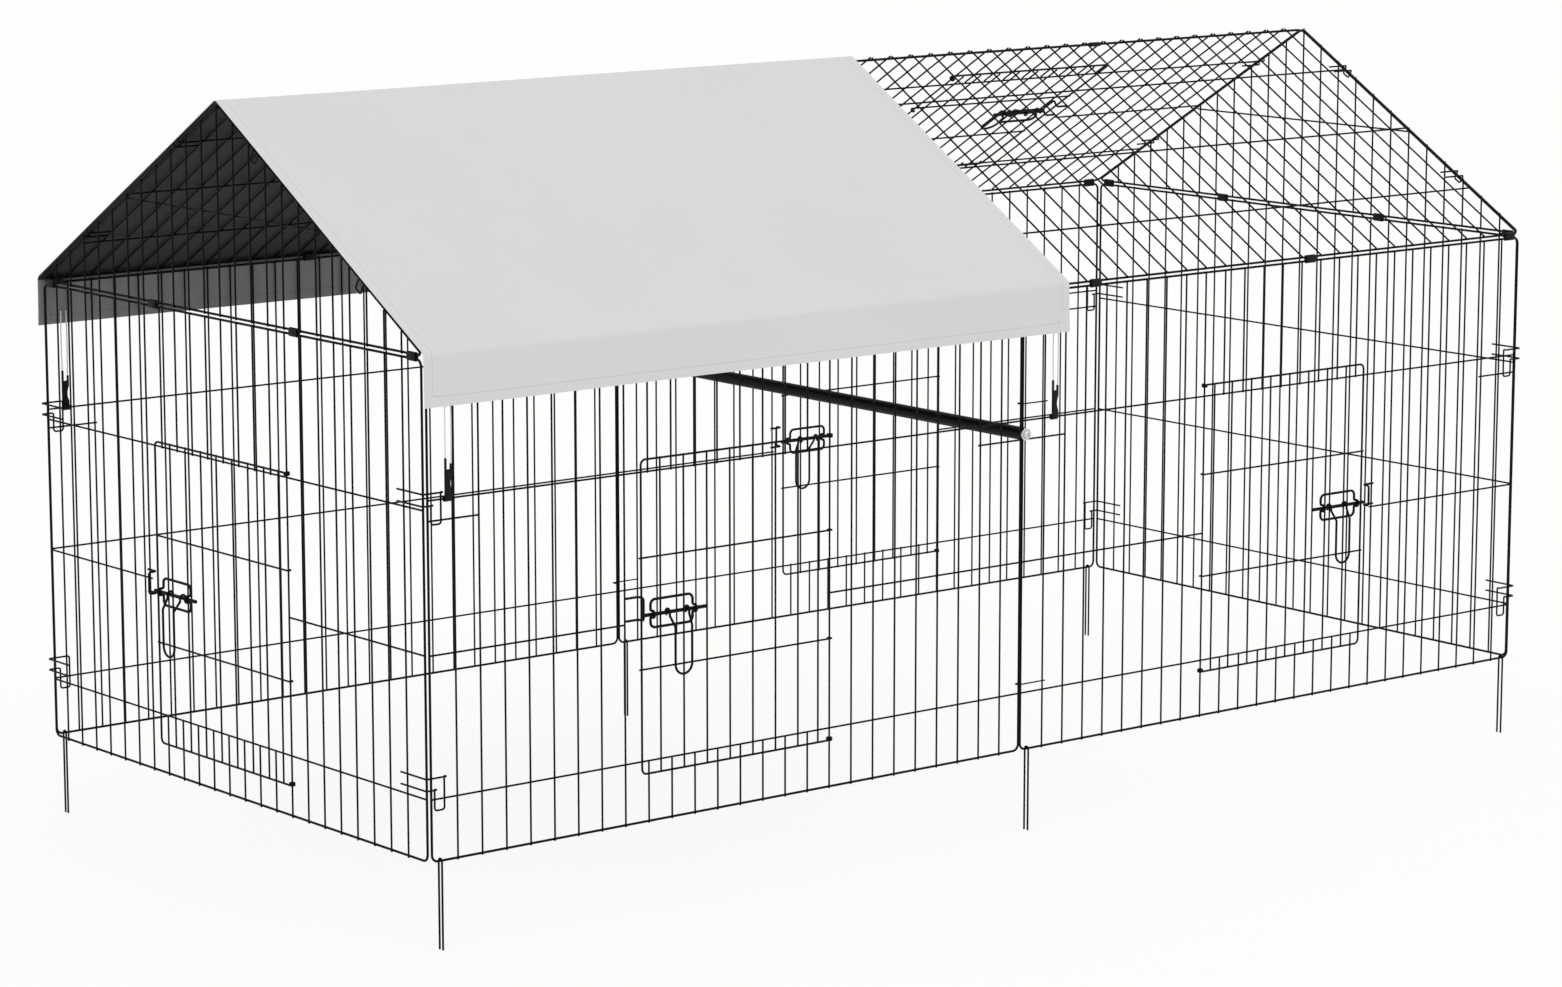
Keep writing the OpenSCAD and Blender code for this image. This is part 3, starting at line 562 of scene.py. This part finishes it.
# below the eave fold the inner skin takes the mid grey lining, and above it the back keeps its painted shade
for face in cover.data.polygons:
    if face.material_index == painted_shade_index and face.center.z < eave_z - eave_turn:
        face.material_index = lining_index
bpy.ops.object.shade_smooth_by_angle(angle=math.radians(50))
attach(cover, "run")
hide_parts("roof_cover")
print("cover:", len(cover.data.polygons), "faces")

# %% [markdown]
# The small moulded pieces have softened edges, which a solid of plain cuts lacks. They could be modelled
# again from blocks, but their solids already have the right form. So a copy of each is merged into one
# skin, and a narrow bevel rounds its sharp edges.

# %% Softened clips and cover hooks
weld_gap = 0.00002
flat_angle = math.radians(2)
sharp_angle = math.radians(40)
smooth_angle = math.radians(35)


def softened(node, name, width):
    piece = bpy.data.objects.new(name, nodes[node].data.copy())
    bpy.context.scene.collection.objects.link(piece)
    work_on(piece)
    bpy.ops.object.mode_set(mode="EDIT")
    bpy.ops.mesh.select_all(action="SELECT")
    bpy.ops.mesh.remove_doubles(threshold=weld_gap)
    bpy.ops.mesh.dissolve_limited(angle_limit=flat_angle)
    bpy.ops.object.mode_set(mode="OBJECT")
    edge = piece.modifiers.new("edge", "BEVEL")
    edge.width = width
    edge.segments = 2
    edge.limit_method = "ANGLE"
    edge.angle_limit = sharp_angle
    bpy.ops.object.modifier_apply(modifier="edge")
    bpy.ops.object.shade_smooth_by_angle(angle=smooth_angle)
    for entry in piece.material_slots:
        entry.material = moulded_plastic
    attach(piece, "run")
    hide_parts(node)
    return piece


clips = softened("rail_clips", "soft_rail_clips", 0.0004)
hooks = softened("cover_hooks", "soft_cover_hooks", 0.0005)
print("clips:", len(clips.data.polygons), "faces; hooks:", len(hooks.data.polygons), "faces")

# %% [markdown]
# Each tie is a pair of elastic strands between the hem and its hook. The left strand ends on the taller
# prong of the hook. A curve with a bevel would do, but a cylinder whose long edges are subdivided can be
# bowed just as well, and is a mesh from the start. The long edges are picked in edge mode, because in point
# mode their ends would pick every other edge too. A strand under tension is straight, with only a hint of
# slack between its ends.

# %% Elastic strands
strand_low, strand_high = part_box("cover_elastics")
tall_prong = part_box("cover_hooks")[1][2]
strand_r = 0.001
pair_gap = 0.009
slack = 0.0006
strand_sides = 10
strand_cuts = 14
lengthwise = 0.01
pick_mode = {"edges": "EDGE", "polygons": "FACE"}


def pick(piece, kind, wanted):
    bpy.ops.object.mode_set(mode="EDIT")
    bpy.ops.mesh.select_mode(type=pick_mode[kind])
    bpy.ops.mesh.select_all(action="DESELECT")
    bpy.ops.object.mode_set(mode="OBJECT")
    for part in getattr(piece.data, kind):
        part.select = wanted(part)
    bpy.ops.object.mode_set(mode="EDIT")


def elastic_strand(x, y, side):
    start = tall_prong if side < 0 else strand_low[2]
    length = strand_high[2] - start
    deselect()
    bpy.ops.mesh.primitive_cylinder_add(
        vertices=strand_sides,
        radius=strand_r,
        depth=length,
        location=(x + side * pair_gap / 2, y, start + length / 2),
    )
    strand = bpy.context.object

    def runs_along(edge):
        a, b = (strand.data.vertices[i].co.z for i in edge.vertices)
        return abs(a - b) > lengthwise

    pick(strand, "edges", runs_along)
    bpy.ops.mesh.subdivide(number_cuts=strand_cuts)
    bpy.ops.object.mode_set(mode="OBJECT")
    for vertex in strand.data.vertices:
        share = vertex.co.z / length + 0.5
        vertex.co.x += side * slack * math.sin(math.pi * share)
    bpy.ops.object.transform_apply(location=True, rotation=True, scale=True)
    bpy.ops.object.shade_smooth_by_angle(angle=math.radians(40))
    return strand


tie_xs = (strand_low[0] + strand_r + pair_gap / 2, strand_high[0] - strand_r - pair_gap / 2)
tie_ys = (strand_low[1] + strand_r, strand_high[1] - strand_r)
strands = [elastic_strand(x, y, side) for x in tie_xs for y in tie_ys for side in (-1, 1)]
print("strands:", len(strands))

# %% [markdown]
# The strands are alike, move together and share one finish. Eight pieces would only lengthen the list of
# pieces, so they are joined into one.

# %% Ties
def joined(pieces):
    work_on(pieces[0])
    for piece in pieces[1:]:
        piece.select_set(True)
    bpy.ops.object.join()
    return pieces[0]


ties = joined(strands)
ties.name = "elastic_strands"
ties.data.materials.append(elastic_braid)
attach(ties, "run")
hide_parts("cover_elastics")
print("ties:", len(ties.data.polygons), "faces")

# %% [markdown]
# A perch bolt has a low domed head. Half a sphere would be too round for it. So the head starts as a short
# cylinder, and its top is inset and raised in steps that get lower towards the middle.

# %% Head of a perch bolt
bolt_low, bolt_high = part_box("perch_bolts")
washer_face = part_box("perch_washers")[1][1]
head_r = (bolt_high[2] - bolt_low[2]) / 2
head_x = (bolt_low[0] + bolt_high[0]) / 2
head_z = (bolt_low[2] + bolt_high[2]) / 2
head_h = bolt_high[1] - washer_face
rim_share = 0.4
faces_up = 0.9
dome_steps = ((0.10, 0.25), (0.18, 0.2), (0.26, 0.12), (0.24, 0.03))
deselect()
bpy.ops.mesh.primitive_cylinder_add(
    vertices=40,
    radius=head_r,
    depth=head_h * rim_share,
    location=(0, 0, head_h * rim_share / 2),
)
head = bpy.context.object
pick(head, "polygons", lambda face: face.normal.z > faces_up)
for inset, lift in dome_steps:
    bpy.ops.mesh.inset(thickness=head_r * inset, depth=head_h * lift)
bpy.ops.object.mode_set(mode="OBJECT")
bpy.ops.object.transform_apply(location=True, rotation=True, scale=True)
print("bolt head", round(head_r * 2000, 1), "mm across,", round(head_h * 1000, 1), "mm high")

# %% [markdown]
# The head has a cross recess for the driver. Its faces could be inset by hand, but the round dome has no
# faces in the shape of a cross, so two crossed blocks cut it with a Boolean.

# %% Cross recess
slot_width = 0.2
slot_depth = 0.8
for angle in (0.0, math.pi / 2):
    deselect()
    bpy.ops.mesh.primitive_cube_add(size=1.0, location=(0, 0, head_h), rotation=(0, 0, angle))
    cutter = bpy.context.object
    cutter.scale = (head_r, head_r * slot_width, head_h * slot_depth)
    bpy.ops.object.transform_apply(location=True, rotation=True, scale=True)
    work_on(head)
    slot_cut = head.modifiers.new("slot", "BOOLEAN")
    slot_cut.operation = "DIFFERENCE"
    slot_cut.solver = "EXACT"
    slot_cut.object = cutter
    bpy.ops.object.modifier_apply(modifier="slot")
    bpy.data.objects.remove(cutter)
print("head with recess:", len(head.data.polygons), "faces")

# %% [markdown]
# The shank runs from the head through the washer into the perch. It could be extruded from the head's
# underside, but that face is wider, so it is a rod of its own that is joined on. The finished bolt is
# copied with its own mesh, and the two are turned to face the front and the back.

# %% Shank and the two bolts
shank_r = 0.0025
shank_end = 0.488
shank_length = washer_face - shank_end
deselect()
bpy.ops.mesh.primitive_cylinder_add(
    vertices=24,
    radius=shank_r,
    depth=shank_length,
    location=(0, 0, -shank_length / 2),
)
shank = bpy.context.object
bpy.ops.object.transform_apply(location=True, rotation=True, scale=True)
front_bolt = joined([head, shank])
bpy.ops.object.shade_smooth_by_angle(angle=math.radians(32))
front_bolt.name = "perch_bolt_front"
back_bolt = bpy.data.objects.new("perch_bolt_back", front_bolt.data.copy())
bpy.context.scene.collection.objects.link(back_bolt)
for bolt, side in ((front_bolt, -1), (back_bolt, 1)):
    work_on(bolt)
    bolt.location = (head_x, side * washer_face, head_z)
    bolt.rotation_euler = (-side * math.pi / 2, 0.0, 0.0)
    bpy.ops.object.transform_apply(location=True, rotation=True, scale=True)
    bolt.data.materials.append(zinc_plate)
    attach(bolt, "run")
    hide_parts("perch_bolts")
print("bolts at y", round(-washer_face, 4), round(washer_face, 4))
